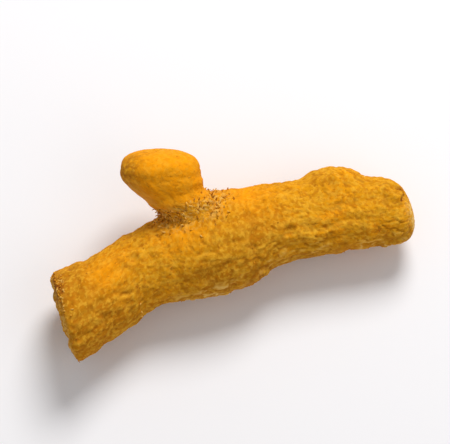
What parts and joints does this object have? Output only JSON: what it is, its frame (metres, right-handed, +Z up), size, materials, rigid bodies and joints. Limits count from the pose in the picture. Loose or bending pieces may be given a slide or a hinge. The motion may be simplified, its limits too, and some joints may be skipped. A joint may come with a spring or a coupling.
{
  "type": "turmeric root",
  "caption": "Dried turmeric finger, bent and wrinkled with node rings, a broken end, a blunt tip and a short side finger, lying on a small flat of its underside.",
  "frame": {"origin": "middle of the root's footprint, on the surface that it lies on", "axes": "+X along the root from its broken end to its blunt tip, +Y towards the side finger, +Z up"},
  "size_m": [0.0627, 0.0302, 0.0215],
  "materials": {
    "turmeric_skin": "matte, powdery dried skin"
  },
  "bodies": {
    "root": {"turmeric_root": "turmeric_skin"}
  },
  "joints": []
}
